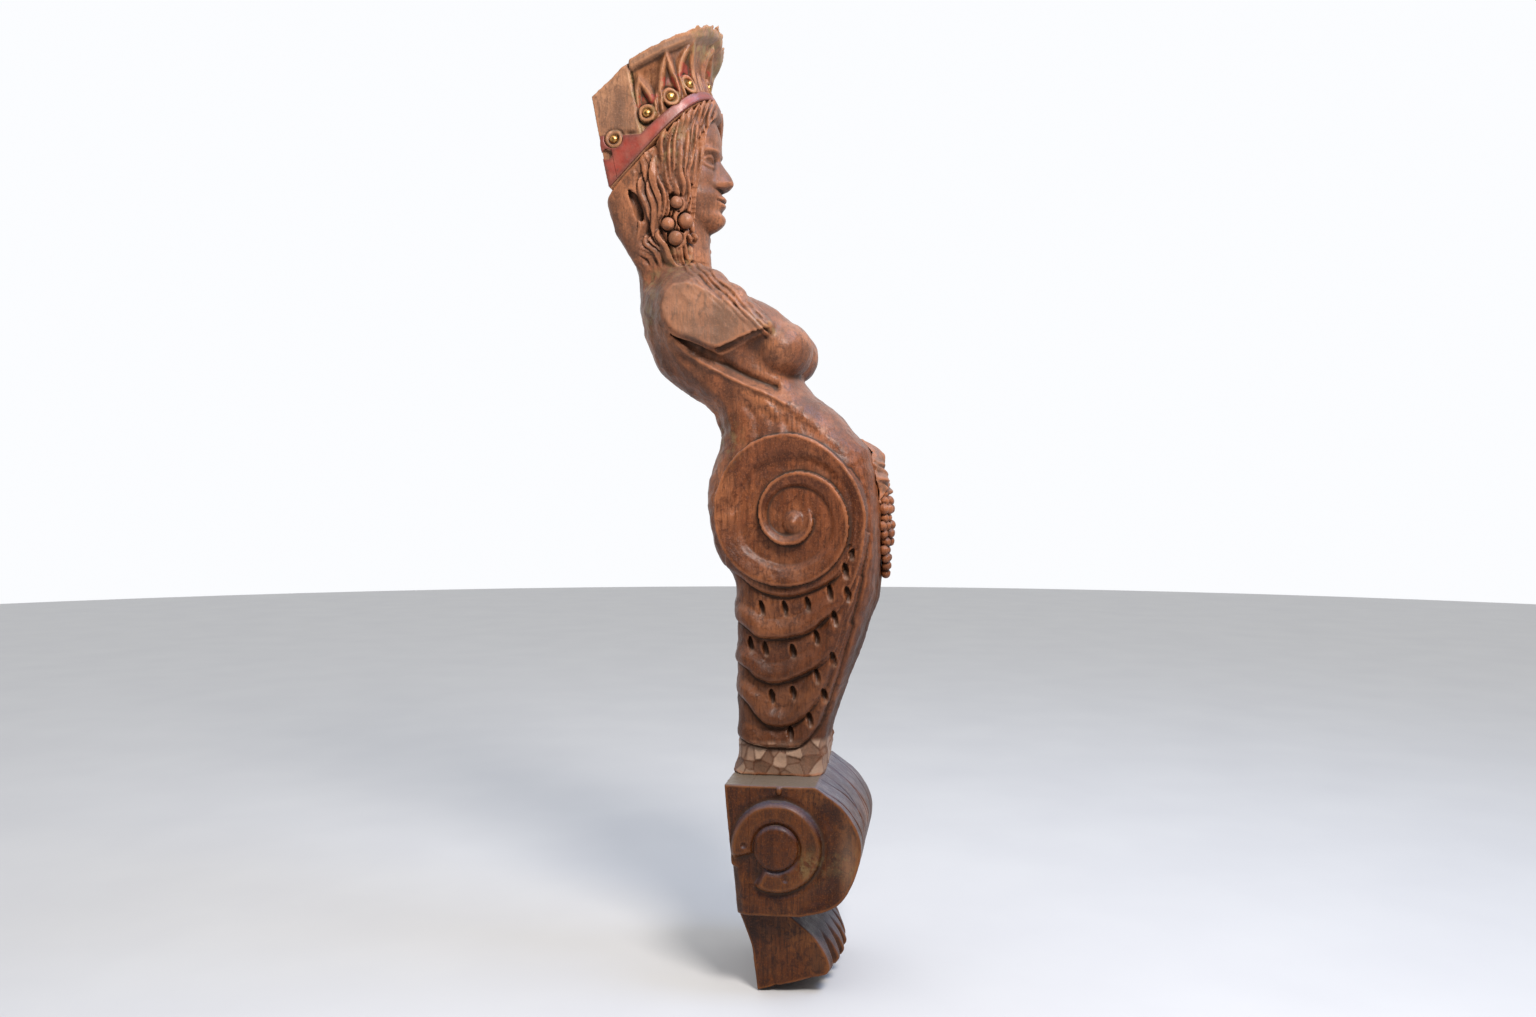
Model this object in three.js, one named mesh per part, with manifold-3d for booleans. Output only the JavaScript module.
// Carved wooden caryatid bracket: a crowned, armless half figure that ends in a scaled tail and stands
// on a scroll console with a leaf scroll below it. It is fixed to a raking wall by its back.
// Millimetres. +Z is up, the figure faces -Y, its right side is -X, and x = 0 is the plane of symmetry.
// The origin is the middle of the console's flat back face.

import * as THREE from 'three';
import { mergeVertices } from 'three/addons/utils/BufferGeometryUtils.js';
import Module from 'manifold-3d';

const wasm = await Module();
wasm.setup();

// ---- driving dimensions ----
const GAP = 0.3; // glue line or fitting gap between neighbouring pieces
const BIG = 2000; // larger than the whole bracket

const CONSOLE_HALF_WIDTH = 125;
const CONSOLE_TOP = 92;
const CONSOLE_BOTTOM = -97;
const CONSOLE_BACK_SLOPE = 0.095; // how far the back face leans back for each millimetre of height
const CONSOLE_SEAM_Y = -29; // joint between the console's back board and its scroll block
const RING_CENTRE = { y: -68, z: 4 };
const RING_RADIUS = 64;
const BUTTON_RADIUS = 33;
const BUTTON_PROUD = 11;

const LEAF_HALF_WIDTH = 103;
const LEAF_BULGE = 16; // how far the leaf's middle stands in front of its side faces

const CORE_HALF_WIDTH = 50; // the figure's centre board; a side board is glued to each side of it
const FOOT_Z = CONSOLE_TOP + GAP;
const SHOULDER_HALF_WIDTH = 119;
const DRUM_HALF_WIDTH = 123;
const DRUM_CENTRE = { y: -72, z: 484 };

const CROWN_BACK_SLOPE = 0.207; // the crown's back leans further back than the console's
const CROWN_LOW = { y: 187, z: 968 }; // back lower corner of the crown
const BAND_ANGLE = THREE.MathUtils.degToRad(45.8); // the band rises from the back to the brow
const BAND_TOP = { y: 139, z: 1046 }; // the band's upper edge is level behind this point and rises before it
const BAND_TOP_ANGLE = THREE.MathUtils.degToRad(42);
const ROOF_RIDGE = { y: 157, z: 1160 }; // top of the joint between the crown's back plank and its front
const ROOF_FRONT_ANGLE = THREE.MathUtils.degToRad(24.3);
const ROOF_BACK_ANGLE = THREE.MathUtils.degToRad(42);
const ROOF_PEAK = { front: 20, back: 109, rise: 30 }; // the roof's front rises to a low point in the middle
const BAND_THICKNESS = 4;
const BAND_SETBACK = 0.2; // the band's ends stop just short of the wall
const CROWN_SEAM_OFFSET = 66; // thickness of the crown's back plank
const CROWN_SIDE_END = 128; // in front of this the crown's straight sides turn into its front
const CROWN_LOFT_LOW = 940; // the crown is lofted between these heights, then cut to the band and the roof
const CROWN_LOFT_HIGH = 1290;
const BAND_END_LENGTH = 16; // the short strips behind the band's butt joints
const CROWN_LEAF_HEIGHT = 62;
const CROWN_LEAF_HALF_WIDTH = 22;
const STUD_RADIUS = 6.2;
const STUD_RING_RADIUS = 13.5;
const STUD_RING_CLEARANCE = 0.7; // between a ring and the band cut round it

const DOWEL_RADIUS = 10;
const DOWEL_LENGTH = 90;

// ---- materials ----
const wood = (color, roughness = 0.5) => new THREE.MeshStandardMaterial({ color, roughness, metalness: 0 });
const carvedWood = wood(0x8f5a3c);
const consoleWood = wood(0x6b4024, 0.45);
const paleWood = wood(0xb98f66, 0.7);
const redPaint = wood(0x9e4639, 0.4);
const brass = new THREE.MeshStandardMaterial({ color: 0xc08a3e, roughness: 0.35, metalness: 1 });

// ---- solids ----
function toSolid(geometry) {
  const bare = geometry.index ? geometry.toNonIndexed() : geometry.clone();
  for (const name of Object.keys(bare.attributes)) {
    if (name !== 'position') bare.deleteAttribute(name);
  }
  const merged = mergeVertices(bare, 1e-3);
  const vertProperties = new Float32Array(merged.attributes.position.array);
  const triVerts = new Uint32Array(merged.index.array);
  const solid = new wasm.Manifold(new wasm.Mesh({ numProp: 3, vertProperties, triVerts }));
  if (solid.volume() > 0) return solid;
  return new wasm.Manifold(new wasm.Mesh({ numProp: 3, vertProperties, triVerts: triVerts.reverse() }));
}

function toGeometry(solid) {
  const mesh = solid.getMesh();
  const geometry = new THREE.BufferGeometry();
  geometry.setAttribute('position', new THREE.BufferAttribute(new Float32Array(mesh.vertProperties), 3));
  geometry.setIndex(new THREE.BufferAttribute(new Uint32Array(mesh.triVerts), 1));
  geometry.computeVertexNormals();
  return geometry;
}

const join = (solids) => solids.reduce((sum, solid) => sum.add(solid));

const bracket = new THREE.Group();

function addPiece(name, solid, material) {
  const mesh = new THREE.Mesh(toGeometry(solid), material);
  mesh.name = name;
  bracket.add(mesh);
}

// A box between two corners.
function box(low, high) {
  const geometry = new THREE.BoxGeometry(high[0] - low[0], high[1] - low[1], high[2] - low[2]);
  geometry.translate((low[0] + high[0]) / 2, (low[1] + high[1]) / 2, (low[2] + high[2]) / 2);
  return toSolid(geometry);
}

// Everything above a sloping plane that runs along X, passes through (y, z) and rises towards -Y by angle.
function above(y, z, angle) {
  const geometry = new THREE.BoxGeometry(BIG, BIG, BIG);
  geometry.translate(0, 0, BIG / 2);
  geometry.rotateX(-angle);
  geometry.translate(0, y, z);
  return toSolid(geometry);
}

// Everything behind a plane that runs along X, passes through (y, z) and leans back by slope.
function behind(y, z, slope) {
  const geometry = new THREE.BoxGeometry(BIG, BIG, BIG);
  geometry.translate(0, BIG / 2, 0);
  geometry.rotateX(-Math.atan(slope));
  geometry.translate(0, y, z);
  return toSolid(geometry);
}

// A side outline, given as [y, z] points, made solid from x = low to x = high.
function sidePrism(points, low, high) {
  const shape = new THREE.Shape(points.map(([y, z]) => new THREE.Vector2(y, z)));
  const geometry = new THREE.ExtrudeGeometry(shape, { depth: high - low, bevelEnabled: false });
  geometry.applyMatrix4(new THREE.Matrix4().set(0, 0, 1, low, 1, 0, 0, 0, 0, 1, 0, 0, 0, 0, 0, 1));
  return toSolid(geometry);
}

// Points along a smooth closed or open curve through [y, z] points.
function smoothPath(points, count, closed = false) {
  const curve = new THREE.CatmullRomCurve3(points.map(([y, z]) => new THREE.Vector3(y, z, 0)), closed);
  const path = curve.getPoints(count).map((p) => [p.x, p.y]);
  return closed ? path.slice(0, -1) : path;
}

// A value that changes smoothly with height through [z, value] pairs listed from the bottom up.
function profile(pairs) {
  const slopeAt = (i) => {
    const a = pairs[Math.max(i - 1, 0)];
    const b = pairs[Math.min(i + 1, pairs.length - 1)];
    return (b[1] - a[1]) / (b[0] - a[0]);
  };
  return (z) => {
    let i = 0;
    while (i < pairs.length - 2 && z > pairs[i + 1][0]) i += 1;
    const [z0, v0] = pairs[i];
    const [z1, v1] = pairs[i + 1];
    const h = z1 - z0;
    const t = THREE.MathUtils.clamp((z - z0) / h, 0, 1);
    const bend0 = (2 * t ** 3 - 3 * t ** 2 + 1) * v0 + (t ** 3 - 2 * t ** 2 + t) * h * slopeAt(i);
    const bend1 = (3 * t ** 2 - 2 * t ** 3) * v1 + (t ** 3 - t ** 2) * h * slopeAt(i + 1);
    return bend0 + bend1;
  };
}

// A closed body through rings of points, one ring for each level, all with the same number of points.
function loft(levels, ringAt) {
  const rings = levels.map(ringAt);
  const count = rings[0].length;
  const positions = rings.flat(2);
  const index = [];
  for (let level = 0; level < rings.length - 1; level += 1) {
    for (let i = 0; i < count; i += 1) {
      const a = level * count + i;
      const b = level * count + ((i + 1) % count);
      index.push(a, b, a + count, b, b + count, a + count);
    }
  }
  const middle = (ring) => [0, 1, 2].map((axis) => ring.reduce((sum, p) => sum + p[axis], 0) / count);
  positions.push(...middle(rings[0]), ...middle(rings.at(-1)));
  const lowMiddle = rings.length * count;
  const top = (rings.length - 1) * count;
  for (let i = 0; i < count; i += 1) {
    const next = (i + 1) % count;
    index.push(lowMiddle, next, i, lowMiddle + 1, top + i, top + next);
  }
  const geometry = new THREE.BufferGeometry();
  geometry.setAttribute('position', new THREE.BufferAttribute(new Float32Array(positions), 3));
  geometry.setIndex(index);
  return toSolid(geometry);
}

const steps = (low, high, count) => {
  const stride = (high - low) / count;
  return Array.from({ length: count + 1 }, (_, i) => low + stride * i);
};

// One ring of a rounded box: a superellipse between front and back, power 2 being a plain ellipse.
function roundedRing(z, halfWidth, front, back, power, count) {
  const ring = [];
  for (let i = 0; i < count; i += 1) {
    const angle = (2 * Math.PI * i) / count;
    const c = Math.cos(angle);
    const s = Math.sin(angle);
    const x = Math.sign(c) * Math.abs(c) ** (2 / power) * halfWidth;
    const y = (front + back) / 2 + (Math.sign(s) * Math.abs(s) ** (2 / power) * (back - front)) / 2;
    ring.push([x, y, z]);
  }
  return ring;
}

function ball(x, y, z, radii, detail = 2) {
  const geometry = new THREE.IcosahedronGeometry(1, detail);
  geometry.scale(...radii);
  geometry.translate(x, y, z);
  return toSolid(geometry);
}

function rod(radius, length, from, direction, segments = 16) {
  const geometry = new THREE.CylinderGeometry(radius, radius, length, segments);
  geometry.translate(0, length / 2, 0);
  const turn = new THREE.Quaternion().setFromUnitVectors(
    new THREE.Vector3(0, 1, 0),
    new THREE.Vector3(...direction).normalize(),
  );
  geometry.applyQuaternion(turn);
  geometry.translate(...from);
  return toSolid(geometry);
}

// ---- dowels, each centred on a joint, with the holes that take them ----
const crownUp = [0, Math.sin(BAND_ANGLE), Math.cos(BAND_ANGLE)];
const DOWELS = [
  { name: 'foot_dowel', x: 30, y: -62, z: CONSOLE_TOP, direction: [0, 0, 1] },
  { name: 'leaf_dowel', x: 60, y: -42, z: CONSOLE_BOTTOM, direction: [0, 0.16, 1] },
  { name: 'crown_dowel', x: 30, y: 112, z: 1044, direction: crownUp },
];

function dowelRod(dowel, side, extra) {
  const along = new THREE.Vector3(...dowel.direction).normalize();
  const length = DOWEL_LENGTH + 2 * extra;
  const from = new THREE.Vector3(side * dowel.x, dowel.y, dowel.z).addScaledVector(along, -length / 2);
  return rod(DOWEL_RADIUS + extra, length, from.toArray(), dowel.direction, 18);
}

const dowelHoles = join(DOWELS.flatMap((dowel) => [dowelRod(dowel, -1, GAP), dowelRod(dowel, 1, GAP)]));

function addDowels() {
  for (const dowel of DOWELS) {
    addPiece(`${dowel.name}_right`, dowelRod(dowel, -1, 0), paleWood);
    addPiece(`${dowel.name}_left`, dowelRod(dowel, 1, 0), paleWood);
  }
}

// ---- scroll console ----
function consoleOutline() {
  const backAt = (z) => CONSOLE_BACK_SLOPE * z;
  const front = smoothPath([
    [-101, -95.5], [-140, -86], [-166, -66], [-184, -28], [-190, 8], [-181, 38], [-160, 66],
    [-124, CONSOLE_TOP],
  ], 20);
  return [[backAt(CONSOLE_TOP), CONSOLE_TOP], [backAt(CONSOLE_BOTTOM), CONSOLE_BOTTOM], ...front];
}

// The raised ring round each scroll eye: a half-round moulding with a flat floor inside it.
function scrollRing(side) {
  const half = 9;
  const rim = RING_RADIUS - half;
  const section = [[0, -4], [RING_RADIUS, -4]];
  for (const angle of steps(0, Math.PI, 5)) {
    section.push([rim + half * Math.cos(angle), 7 * Math.sin(angle)]);
  }
  section.push([0, 0]);
  const geometry = new THREE.LatheGeometry(section.map(([r, h]) => new THREE.Vector2(r, h)), 28);
  geometry.rotateZ((-side * Math.PI) / 2);
  geometry.translate(side * CONSOLE_HALF_WIDTH, RING_CENTRE.y, RING_CENTRE.z);
  return toSolid(geometry);
}

// A turned button with a spigot behind it, on each scroll eye.
function buttonProfile(extra) {
  const face = BUTTON_RADIUS + extra;
  return [
    [0, -24 - extra], [12 + extra, -24 - extra], [12 + extra, 0.4 - extra], [face, 0.4 - extra],
    [face, BUTTON_PROUD * 0.6], [face * 0.9, BUTTON_PROUD + extra], [0, BUTTON_PROUD + extra],
  ];
}

function scrollButton(side, extra) {
  const geometry = new THREE.LatheGeometry(buttonProfile(extra).map(([r, h]) => new THREE.Vector2(r, h)), 24);
  geometry.rotateZ((-side * Math.PI) / 2);
  geometry.translate(side * CONSOLE_HALF_WIDTH, RING_CENTRE.y, RING_CENTRE.z);
  return toSolid(geometry);
}

function addConsole() {
  const whole = join([
    sidePrism(consoleOutline(), -CONSOLE_HALF_WIDTH, CONSOLE_HALF_WIDTH), scrollRing(-1), scrollRing(1),
  ]).subtract(dowelHoles).subtract(scrollButton(-1, GAP)).subtract(scrollButton(1, GAP));
  const backBoard = box([-BIG, CONSOLE_SEAM_Y + GAP / 2, -BIG], [BIG, BIG, BIG]);
  const blockSpace = box([-BIG, -BIG, -BIG], [BIG, CONSOLE_SEAM_Y - GAP / 2, BIG]);
  addPiece('console_back_board', whole.intersect(backBoard), consoleWood);
  addPiece('console_scroll_block', whole.intersect(blockSpace), consoleWood);
  addPiece('console_button_right', scrollButton(-1, 0), consoleWood);
  addPiece('console_button_left', scrollButton(1, 0), consoleWood);
}

// ---- leaf scroll under the console ----
function addLeafScroll() {
  const top = CONSOLE_BOTTOM - GAP;
  const back = smoothPath([[-8, top], [-14, -118], [-25, -145], [-31, -175], [-35, -216]], 8);
  const front = smoothPath([
    [-137, -186], [-141, -176], [-134, -154], [-118, -132], [-98, -115], [-74, top],
  ], 12);
  const outline = [...back, ...front];
  const ringAt = (x) => {
    const forward = LEAF_BULGE * Math.cos((x / LEAF_HALF_WIDTH) * (Math.PI / 2));
    const swell = (z) => Math.sqrt(THREE.MathUtils.clamp((top - z) / 80, 0, 1));
    return outline.map(([y, z]) => [x, y < -60 ? y - forward * swell(z) : y, z]);
  };
  const flutes = [-66, -33, 0, 33, 66].map((x) => rod(8, 120, [x, -160, -225], [0, 0.36, 1], 8));
  const body = loft(steps(-LEAF_HALF_WIDTH, LEAF_HALF_WIDTH, 6), ringAt);
  addPiece('leaf_scroll', body.subtract(dowelHoles).subtract(join(flutes)), consoleWood);
}

// ---- figure ----
const bodyHalfWidth = profile([
  [92, 68], [136, 68], [200, 79], [260, 90], [320, 101], [380, 109], [440, 112], [520, 110], [580, 101],
  [640, 93], [700, 97], [760, 108], [800, 108], [830, 90], [860, 80], [900, 78],
]);
const bodyFront = profile([
  [92, -127], [121, -133], [157, -136], [197, -148], [273, -177], [326, -195], [356, -205], [400, -210],
  [450, -211], [510, -208], [555, -202], [580, -195], [600, -176], [635, -146], [666, -108], [691, -90],
  [740, -74], [785, -60], [806, -34], [820, 0], [836, 24], [855, 44], [876, 54], [900, 54],
]);
const bodyBack = profile([
  [92, 8], [120, 4], [196, 4], [350, 5], [384, 8], [419, 30], [473, 45], [535, 46], [566, 38], [585, 32],
  [620, 36], [646, 50], [667, 80], [698, 118], [738, 138], [785, 150], [847, 158], [870, 170], [900, 185],
]);
const bodyPower = profile([
  [92, 6], [150, 5], [350, 5], [560, 4.5], [640, 2.8], [760, 2.4], [900, 2.8],
]);

function trunk(levels, offset) {
  return loft(levels, (z) => roundedRing(
    z, bodyHalfWidth(z) + offset, bodyFront(z), bodyBack(z) + offset / 2, bodyPower(z), 24,
  ));
}

const trunkLevels = [...steps(FOOT_Z, 560, 10), ...steps(585, 900, 12)];

// Scale-like tiers on the tail: each hangs in a curve from the front of the hip to the back.
const TIERS = [
  [[20, 322], [-12, 318], [-56, 299], [-113, 311], [-158, 347], [-187, 407]],
  [[20, 262], [-12, 256], [-55, 232], [-109, 250], [-150, 285], [-172, 335]],
  [[20, 216], [-12, 206], [-39, 170], [-88, 171], [-126, 212], [-152, 263]],
  [[20, 150], [-27, 136], [-60, 134], [-94, 137], [-121, 165], [-134, 191]],
];
const TIER_PROUD = 5;
const TIER_DEPTH = 26;

function tailTiers() {
  const shell = trunk(steps(FOOT_Z, 460, 5), TIER_PROUD);
  const swags = TIERS.map((edge) => {
    const lower = smoothPath(edge, 7);
    const upper = lower.map(([y, z]) => [y, z + TIER_DEPTH]).reverse();
    return sidePrism([...lower, ...upper], -BIG / 2, BIG / 2);
  });
  return shell.intersect(join(swags));
}

// The hip volute: a drum whose outline is a spiral's outer turn, with two smaller raised turns on its face.
function drumOutline(scale) {
  const angles = steps(0, 2 * Math.PI, 26).slice(0, -1);
  return angles.map((angle) => {
    const radius = 103 + 12 * Math.sin(angle + 0.5);
    const reach = scale * radius;
    return [DRUM_CENTRE.y + reach * Math.cos(angle), DRUM_CENTRE.z + reach * Math.sin(angle)];
  });
}

function hipVolute(side) {
  const face = side * DRUM_HALF_WIDTH;
  const drum = sidePrism(drumOutline(1), ...(side < 0 ? [face + 5, -60] : [60, face - 5]));
  const valley = sidePrism(drumOutline(0.74), ...(side < 0 ? [face, face + 10] : [face - 10, face]));
  const turn = sidePrism(drumOutline(0.5), ...(side < 0 ? [face + 1, -60] : [60, face - 1]));
  const rim = sidePrism(drumOutline(0.97), ...(side < 0 ? [face, face + 20] : [face - 20, face]));
  const eye = ball(face - side * 8, DRUM_CENTRE.y - 12, DRUM_CENTRE.z - 12, [12, 14, 14], 1);
  return join([drum, rim]).subtract(valley).add(turn).add(eye);
}

// The shoulder ends in a flat, where an arm would be joined.
function shoulderPad() {
  const outline = smoothPath([
    [86, 820], [50, 816], [4, 790], [-46, 757], [-22, 744], [18, 728], [58, 743], [90, 758], [103, 792],
  ], 18, true);
  return sidePrism(outline, -SHOULDER_HALF_WIDTH, SHOULDER_HALF_WIDTH);
}

const hairHalfWidth = profile([[870, 74], [930, 84], [980, 95], [1040, 100], [1100, 100], [1180, 100]]);
const hairBack = profile([[870, 166], [930, 190], [990, 192], [1180, 230]]);
const hairFront = profile([[870, 62], [930, 64], [970, 58], [1015, 47], [1060, 42], [1112, 38], [1180, 40]]);

function hair() {
  const ring = (z) => roundedRing(z, hairHalfWidth(z), hairFront(z), hairBack(z), 3.2, 24);
  return loft(steps(870, 1180, 8), ring);
}

// A calm, plain face in the opening of the hair: a cranium, a jaw and a straight nose.
const NOSE = [[1030, 31, 6], [1016, 23, 8], [1001, 9, 12], [989, 24, 9]];

function face() {
  const nose = loft(NOSE, ([z, tip, half]) => [
    [-half, 60, z], [-half * 0.4, tip, z], [half * 0.4, tip, z], [half, 60, z],
  ]);
  return join([
    ball(0, 100, 1020, [58, 70, 86], 3),
    ball(0, 66, 966, [40, 47, 40], 2),
    nose,
  ]);
}

const faceOpening = () => ball(0, 40, 1000, [50, 34, 84], 2);

// Five grapes hang in the hair beside each cheek.
const HAIR_GRAPES = [[90, 949, 9], [78, 925, 12], [104, 918, 10], [94, 898, 11], [74, 901, 9]];

function hairGrapes(side) {
  return HAIR_GRAPES.map(([y, z, radius]) => {
    return ball(side * (hairHalfWidth(z) - 1), y, z, [radius, radius, radius], 1);
  });
}

function figure() {
  const breasts = [-1, 1].map((side) => ball(side * 55, -58, 738, [49, 51, 47], 3));
  const body = join([
    trunk(trunkLevels, 0), tailTiers(), hipVolute(-1), hipVolute(1), shoulderPad(),
    hair().subtract(faceOpening()), face(), ...breasts, ...hairGrapes(-1), ...hairGrapes(1),
  ]);
  return body
    .subtract(above(CROWN_LOW.y, CROWN_LOW.z - GAP, BAND_ANGLE))
    .subtract(box([-BIG, -BIG, -BIG], [BIG, BIG, FOOT_Z]))
    .subtract(dowelHoles);
}

// ---- ornament on the belly: a leaf with a tapering bunch of small grapes under it ----
const ORNAMENT_BACK = bodyFront(500);

function bellyLeaf(shift) {
  const outline = smoothPath([
    [-12, 592], [-30, 560], [-46, 530], [-30, 498], [-12, 508], [0, 496], [12, 508], [30, 498], [46, 530],
    [30, 560], [12, 592],
  ], 22, true);
  const shape = new THREE.Shape(outline.map(([x, z]) => new THREE.Vector2(x, z)));
  const geometry = new THREE.ExtrudeGeometry(shape, { depth: 50, bevelEnabled: false });
  geometry.rotateX(Math.PI / 2);
  geometry.translate(0, ORNAMENT_BACK + 40, shift);
  return toSolid(geometry);
}

const shifted = (solid, move) => toSolid(toGeometry(solid).translate(...move));

function bellyGrapes() {
  const rows = [4, 5, 4, 5, 4, 3, 2, 1];
  const radius = 8;
  const balls = rows.flatMap((count, row) => {
    const z = 484 - row * 13.5;
    return steps(-(count - 1) / 2, (count - 1) / 2, Math.max(count - 1, 1)).slice(0, count).map((place) => {
      const x = count > 1 ? place * 14 : 0;
      return ball(x, ORNAMENT_BACK - 15 + Math.abs(x) * 0.15, z, [radius, radius, radius], 0);
    });
  });
  const stem = loft(steps(388, 490, 4), (z) => {
    const half = 8 + (z - 388) * 0.24;
    return roundedRing(z, half, ORNAMENT_BACK - 14, ORNAMENT_BACK + 12, 2.5, 12);
  });
  return join([stem, ...balls]);
}

function addOrnament(whole) {
  const belly = whole.add(shifted(whole, [0, -GAP, 0]));
  const leaf = bellyLeaf(0).subtract(belly);
  const grapes = bellyGrapes().subtract(belly).subtract(bellyLeaf(-GAP));
  addPiece('belly_leaf', largest(leaf), carvedWood);
  addPiece('belly_grapes', largest(grapes), carvedWood);
}

// The largest separate body of a cut result.
function largest(solid) {
  return solid.decompose().sort((a, b) => b.volume() - a.volume())[0];
}

// ---- crown ----
const crownFront = profile([
  [940, 42], [1112, 43], [1132, 52], [1152, 57], [1185, 55], [1220, 45], [1290, 38],
]);
const crownHalfWidth = profile([[940, 105], [1060, 105], [1110, 101], [1160, 102], [1210, 108], [1290, 112]]);
const crownRoundness = profile([[940, 0.85], [1130, 0.85], [1210, 0.55], [1290, 0.5]]);
const crownBack = (z) => CROWN_LOW.y + CROWN_BACK_SLOPE * (z - CROWN_LOW.z);

// A point of the crown's front at a height, from 0 at the left side to pi at the right one.
function crownPoint(z, angle, offset = 0) {
  const c = Math.cos(angle);
  const halfWidth = crownHalfWidth(z) + offset;
  const depth = CROWN_SIDE_END - crownFront(z) + offset;
  return [
    halfWidth * Math.sign(c) * Math.abs(c) ** crownRoundness(z),
    CROWN_SIDE_END - depth * Math.sin(angle) ** crownRoundness(z),
    z,
  ];
}

// A horizontal section of the crown: square behind, with straight sides, and a round front that is squarer
// higher up.
function crownRing(z, offset) {
  const halfWidth = crownHalfWidth(z) + offset;
  const front = steps(0, Math.PI, 14).map((angle) => crownPoint(z, Math.PI - angle, offset));
  return [[halfWidth, crownBack(z), z], [-halfWidth, crownBack(z), z], ...front];
}

const crownLoft = (offset) => loft(steps(CROWN_LOFT_LOW, CROWN_LOFT_HIGH, 10), (z) => crownRing(z, offset));

// Each stud's place: a depth and a height on the crown's flat side, or an angle round its front and a height.
const STUDS = [
  { name: 'stud_back', y: 180, z: 1041 },
  { name: 'stud_side', y: 130, z: 1078 },
  { name: 'stud_cheek', angle: 0.32, z: 1103 },
  { name: 'stud_brow', angle: 0.74, z: 1127 },
  { name: 'stud_front', angle: Math.PI / 2, z: 1147 },
];

function studPlace(stud, side) {
  if (stud.y !== undefined) {
    return { point: [side * crownHalfWidth(stud.z), stud.y, stud.z], out: [side, 0, 0] };
  }
  const [x, y, z] = crownPoint(stud.z, stud.angle);
  return { point: [side * x, y, z], out: [side * Math.cos(stud.angle), -Math.sin(stud.angle) * 0.95, 0] };
}

function lathedAt(section, { point, out }, segments) {
  const geometry = new THREE.LatheGeometry(section.map(([r, h]) => new THREE.Vector2(r, h)), segments);
  const turn = new THREE.Quaternion().setFromUnitVectors(
    new THREE.Vector3(0, 1, 0),
    new THREE.Vector3(...out).normalize(),
  );
  geometry.applyQuaternion(turn);
  geometry.translate(...point);
  return toSolid(geometry);
}

const studRing = [
  [0, -8], [STUD_RING_RADIUS, -8], [STUD_RING_RADIUS, 2], [STUD_RING_RADIUS - 2, 3.5], [0, 3.5],
];
const studSocket = [[0, -14], [3, -14], [3, 0.5], [9, 0.5], [9, 6], [0, 6]];
const studNail = [[0, -13.5], [2.5, -13.5], [2.5, 0.8], [STUD_RADIUS, 0.8], [STUD_RADIUS * 0.8, 4], [0, 6]];

const studList = STUDS.flatMap((stud) => {
  const sides = stud.name === 'stud_front' ? [1] : [-1, 1];
  return sides.map((side) => {
    const suffix = { '-1': '_right', 1: '_left' }[side];
    const name = stud.name === 'stud_front' ? stud.name : stud.name + suffix;
    return { name, place: studPlace(stud, side) };
  });
});

// Pointed leaves stand round the crown, one above each stud but the rearmost.
function crownLeaf(stud, side) {
  const { point, out } = studPlace(stud, side);
  const half = CROWN_LEAF_HALF_WIDTH;
  const outline = [[-half, -8], [0, -14], [half, -8], [half - 2, 20], [0, CROWN_LEAF_HEIGHT], [2 - half, 20]];
  const shape = new THREE.Shape(outline.map(([x, y]) => new THREE.Vector2(x, y)));
  const geometry = new THREE.ExtrudeGeometry(shape, { depth: 12, bevelEnabled: false });
  geometry.translate(0, 18, -8);
  geometry.rotateX(Math.PI / 2 + 0.08);
  geometry.rotateZ(Math.atan2(out[1], out[0]) + Math.PI / 2);
  geometry.translate(...point);
  return toSolid(geometry);
}

// The wood of the low point that the crown's roof rises to in front.
function roofPeak() {
  const roofHeight = (y) => ROOF_RIDGE.z + (ROOF_RIDGE.y - y) * Math.tan(ROOF_FRONT_ANGLE);
  const half = crownHalfWidth(CROWN_LOFT_HIGH);
  return loft([ROOF_PEAK.front, ROOF_PEAK.back], (y) => {
    const share = (ROOF_PEAK.back + 1 - y) / (ROOF_PEAK.back + 1 - ROOF_PEAK.front);
    const low = roofHeight(y) - 1;
    return [[-half, y, low], [half, y, low], [0, y, low + 1 + ROOF_PEAK.rise * share]];
  });
}

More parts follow.
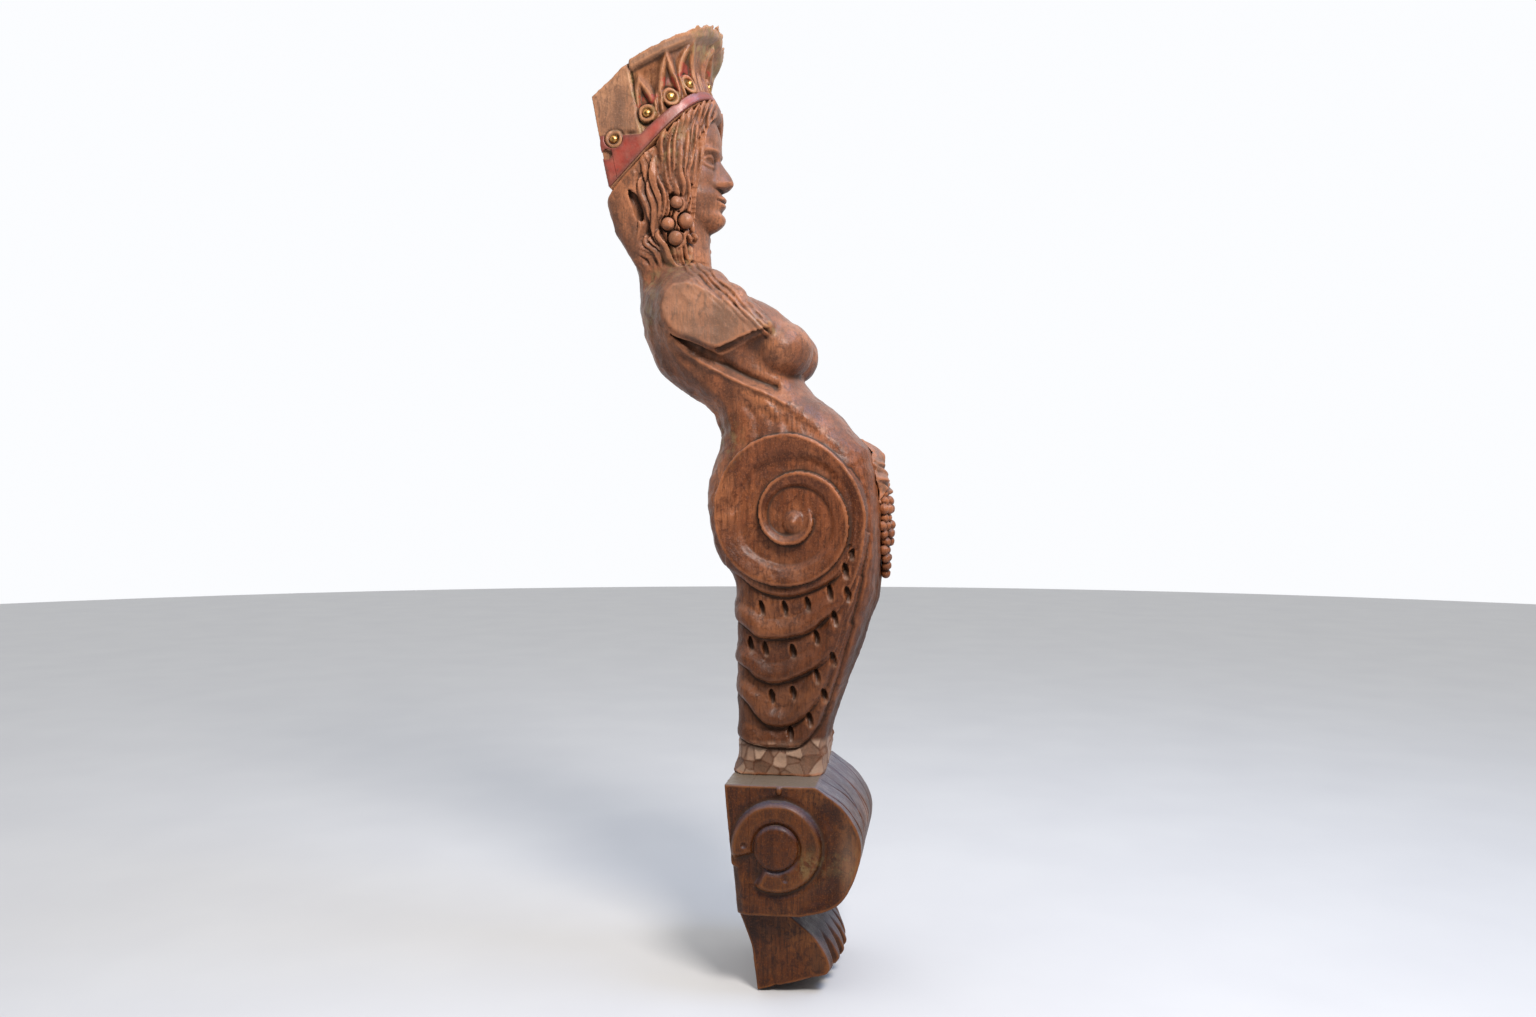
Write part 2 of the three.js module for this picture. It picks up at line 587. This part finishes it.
function addCrown() {
  const aboveBand = above(CROWN_LOW.y, CROWN_LOW.z, BAND_ANGLE);
  const aboveBandTop = (lift) => {
    const z = BAND_TOP.z + lift;
    return above(BAND_TOP.y, z, BAND_TOP_ANGLE).intersect(above(BAND_TOP.y, z, 0));
  };
  const roof = above(ROOF_RIDGE.y, ROOF_RIDGE.z, ROOF_FRONT_ANGLE)
    .intersect(box([-BIG, -BIG, -BIG], [BIG, ROOF_RIDGE.y, BIG])).subtract(roofPeak())
    .add(above(ROOF_RIDGE.y, ROOF_RIDGE.z, ROOF_BACK_ANGLE).intersect(behind(ROOF_RIDGE.y, ROOF_RIDGE.z, 0)));
  const leaves = join(STUDS.slice(1).flatMap((stud) => [crownLeaf(stud, -1), crownLeaf(stud, 1)]));
  const rings = join(studList.map(({ place }) => lathedAt(studRing, place, 12)));
  const sockets = join(studList.map(({ place }) => lathedAt(studSocket, place, 12)));

  const seam = behind(CROWN_LOW.y - CROWN_SEAM_OFFSET, CROWN_LOW.z, CROWN_BACK_SLOPE);
  const seamFront = behind(CROWN_LOW.y - CROWN_SEAM_OFFSET - GAP, CROWN_LOW.z, CROWN_BACK_SLOPE);
  const wallPlane = behind(CROWN_LOW.y, CROWN_LOW.z, CROWN_BACK_SLOPE);
  const block = crownLoft(0).intersect(aboveBand);
  const carved = join([block, leaves.intersect(aboveBandTop(GAP)), rings])
    .subtract(roof).subtract(wallPlane).subtract(sockets).subtract(dowelHoles);
  addPiece('crown_back_plank', largest(carved.intersect(seam)), carvedWood);
  addPiece('crown_front_carving', largest(carved.subtract(seamFront)), carvedWood);

  const ringHole = STUD_RING_RADIUS + STUD_RING_CLEARANCE;
  const ringHoles = join(studList.map(
    ({ place }) => lathedAt([[0, -10], [ringHole, -10], [ringHole, 8], [0, 8]], place, 12),
  ));
  const bandBack = behind(CROWN_LOW.y - BAND_SETBACK, CROWN_LOW.z, CROWN_BACK_SLOPE);
  const strip = crownLoft(BAND_THICKNESS + GAP).intersect(aboveBand).subtract(aboveBandTop(0))
    .subtract(crownLoft(GAP)).subtract(bandBack).subtract(ringHoles);
  const endCut = behind(CROWN_LOW.y - BAND_END_LENGTH, CROWN_LOW.z, CROWN_BACK_SLOPE);
  const endCutFront = behind(CROWN_LOW.y - BAND_END_LENGTH - GAP, CROWN_LOW.z, CROWN_BACK_SLOPE);
  addPiece('crown_band', largest(strip.subtract(endCutFront)), redPaint);
  const ends = strip.intersect(endCut);
  addPiece('crown_band_end_right', largest(ends.subtract(box([0, -BIG, -BIG], [BIG, BIG, BIG]))), redPaint);
  addPiece('crown_band_end_left', largest(ends.subtract(box([-BIG, -BIG, -BIG], [0, BIG, BIG]))), redPaint);

  for (const { name, place } of studList) addPiece(name, lathedAt(studNail, place, 8), brass);
}

function addFigure() {
  const whole = figure();
  const half = CORE_HALF_WIDTH;
  addPiece('figure_core_board', whole.intersect(box([-half, -BIG, -BIG], [half, BIG, BIG])), carvedWood);
  addPiece(
    'figure_side_board_right',
    largest(whole.intersect(box([-BIG, -BIG, -BIG], [-half - GAP, BIG, BIG]))),
    carvedWood,
  );
  addPiece(
    'figure_side_board_left',
    largest(whole.intersect(box([half + GAP, -BIG, -BIG], [BIG, BIG, BIG]))),
    carvedWood,
  );
  addOrnament(whole);
}

addLeafScroll();
addConsole();
addFigure();
addCrown();
addDowels();

export default bracket;
